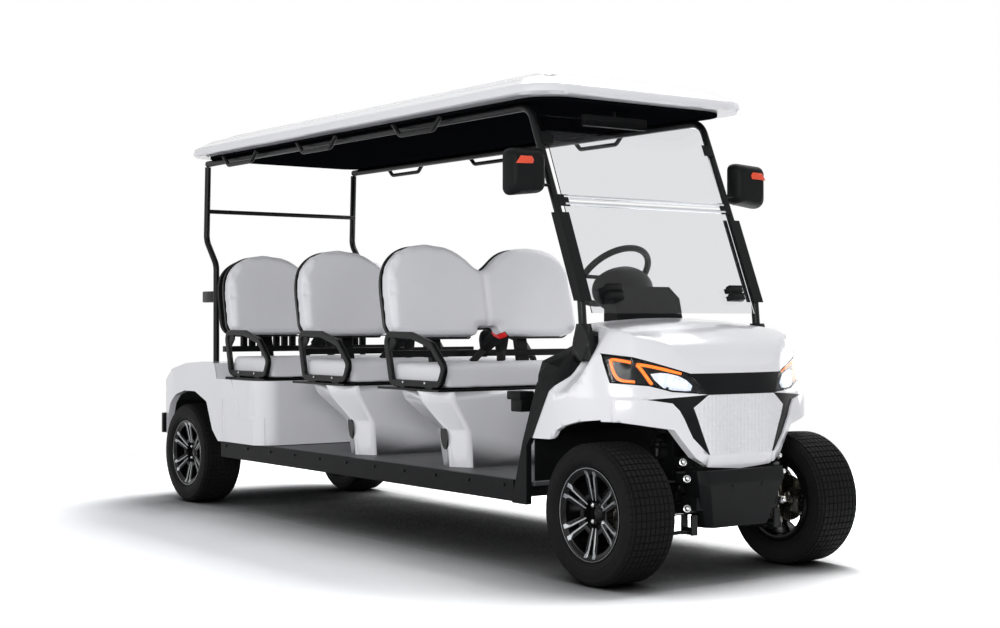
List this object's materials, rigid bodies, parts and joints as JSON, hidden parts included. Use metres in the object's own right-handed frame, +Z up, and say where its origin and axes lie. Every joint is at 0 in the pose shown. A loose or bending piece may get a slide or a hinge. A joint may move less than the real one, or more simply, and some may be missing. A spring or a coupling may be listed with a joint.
{
  "type": "golf cart",
  "caption": "Long electric cart with bench rows under a flat roof, a hinged clear screen, steerable front wheels and open sides.",
  "frame": {"origin": "on the ground below the middle of the bounding box", "axes": "+X forward, +Y to the driver's left, +Z up"},
  "size_m": [4.06, 1.3352, 1.9439],
  "materials": {
    "white_body": "gloss white",
    "black_plastic": "satin black",
    "black_metal": "satin black powder coat",
    "floor_rubber": "ribbed dark grey",
    "seat_vinyl": "soft light grey",
    "battery_case": "matt dark grey",
    "clear_screen": "clear",
    "lamp_lens": "clear lens over a bright bowl",
    "red_lens": "gloss red",
    "red_button": "black buckles with red buttons",
    "tyre": "matt",
    "rim_alloy": "black with machined faces",
    "bright_steel": "turned"
  },
  "bodies": {
    "chassis": {"frame_rails": "black_metal", "frame_crossmembers": "black_metal", "suspension_brackets": "black_metal", "floor_deck": "floor_rubber", "sill_covers": "black_plastic", "front_suspension": "black_metal", "rear_springs": "black_metal", "drive_axle": "black_metal", "battery_pack": "battery_case", "front_cowl": "white_body", "nose_surround": "black_plastic", "nose_panel": "white_body", "headlamps": "lamp_lens", "front_bumper": "black_plastic", "arch_liners": "black_plastic", "rear_body": "white_body", "tail_lamps": "red_lens", "rear_bumper": "black_plastic", "seat_pedestals": "white_body", "seat_cushions": "seat_vinyl", "backrests": "seat_vinyl", "backrest_shells": "black_plastic", "seat_frames": "black_metal", "armrests": "black_metal", "front_pillars": "black_metal", "rear_pillars": "black_metal", "bag_bar": "black_plastic", "roof_panel": "white_body", "roof_liner": "black_plastic", "grab_handles": "black_plastic", "windscreen_panes": "clear_screen", "windscreen_clamps": "black_plastic", "side_mirrors": "black_plastic", "interior_mirror": "black_plastic", "cowl_side_trims": "black_plastic", "dashboard": "black_plastic", "steering_column": "black_plastic", "pedals": "black_plastic", "seat_belts": "red_button"},
    "knuckle_left": {"knuckle_left": "black_metal"},
    "knuckle_right": {"knuckle_right": "black_metal"},
    "tie_rod": {"tie_rod": "black_metal"},
    "steering_wheel": {"steering_wheel": "black_plastic"},
    "wheel_front_left": {"tyre_front_left": "tyre", "rim_front_left": "rim_alloy", "hub_front_left": "bright_steel"},
    "wheel_front_right": {"tyre_front_right": "tyre", "rim_front_right": "rim_alloy", "hub_front_right": "bright_steel"},
    "wheel_rear_left": {"tyre_rear_left": "tyre", "rim_rear_left": "rim_alloy", "hub_rear_left": "bright_steel"},
    "wheel_rear_right": {"tyre_rear_right": "tyre", "rim_rear_right": "rim_alloy", "hub_rear_right": "bright_steel"}
  },
  "joints": [
    {"name": "steer_left", "type": "hinge", "parent": "chassis", "child": "knuckle_left", "pos_m": [1.77, 0.385, 0.26], "axis": [0, 0, 1], "range_deg": [-28, 28]},
    {"name": "steer_right", "type": "hinge", "parent": "chassis", "child": "knuckle_right", "pos_m": [1.77, -0.385, 0.26], "axis": [0, 0, 1], "range_deg": [-28, 28]},
    {"name": "tie_rod_turn", "type": "hinge", "parent": "knuckle_left", "child": "tie_rod", "pos_m": [1.675, 0.385, 0.205], "axis": [0, 0, 1], "range_deg": [-28, 28]},
    {"name": "steering_wheel_turn", "type": "hinge", "parent": "chassis", "child": "steering_wheel", "pos_m": [0.94, 0.24, 1.154], "axis": [-0.7071, 0, 0.7071], "range_deg": [-364, 364]},
    {"name": "wheel_front_left_spin", "type": "hinge", "parent": "knuckle_left", "child": "wheel_front_left", "pos_m": [1.77, 0.475, 0.26], "axis": [0, 1, 0], "continuous": true},
    {"name": "wheel_front_right_spin", "type": "hinge", "parent": "knuckle_right", "child": "wheel_front_right", "pos_m": [1.77, -0.475, 0.26], "axis": [0, 1, 0], "continuous": true},
    {"name": "wheel_rear_left_spin", "type": "hinge", "parent": "chassis", "child": "wheel_rear_left", "pos_m": [-1.63, 0.475, 0.26], "axis": [0, 1, 0], "continuous": true},
    {"name": "wheel_rear_right_spin", "type": "hinge", "parent": "chassis", "child": "wheel_rear_right", "pos_m": [-1.63, -0.475, 0.26], "axis": [0, 1, 0], "continuous": true}
  ],
  "couplings": [
    {"joint": "steer_right", "follows": "steer_left", "ratio": 1},
    {"joint": "tie_rod_turn", "follows": "steer_left", "ratio": -1},
    {"joint": "steering_wheel_turn", "follows": "steer_left", "ratio": 13}
  ]
}
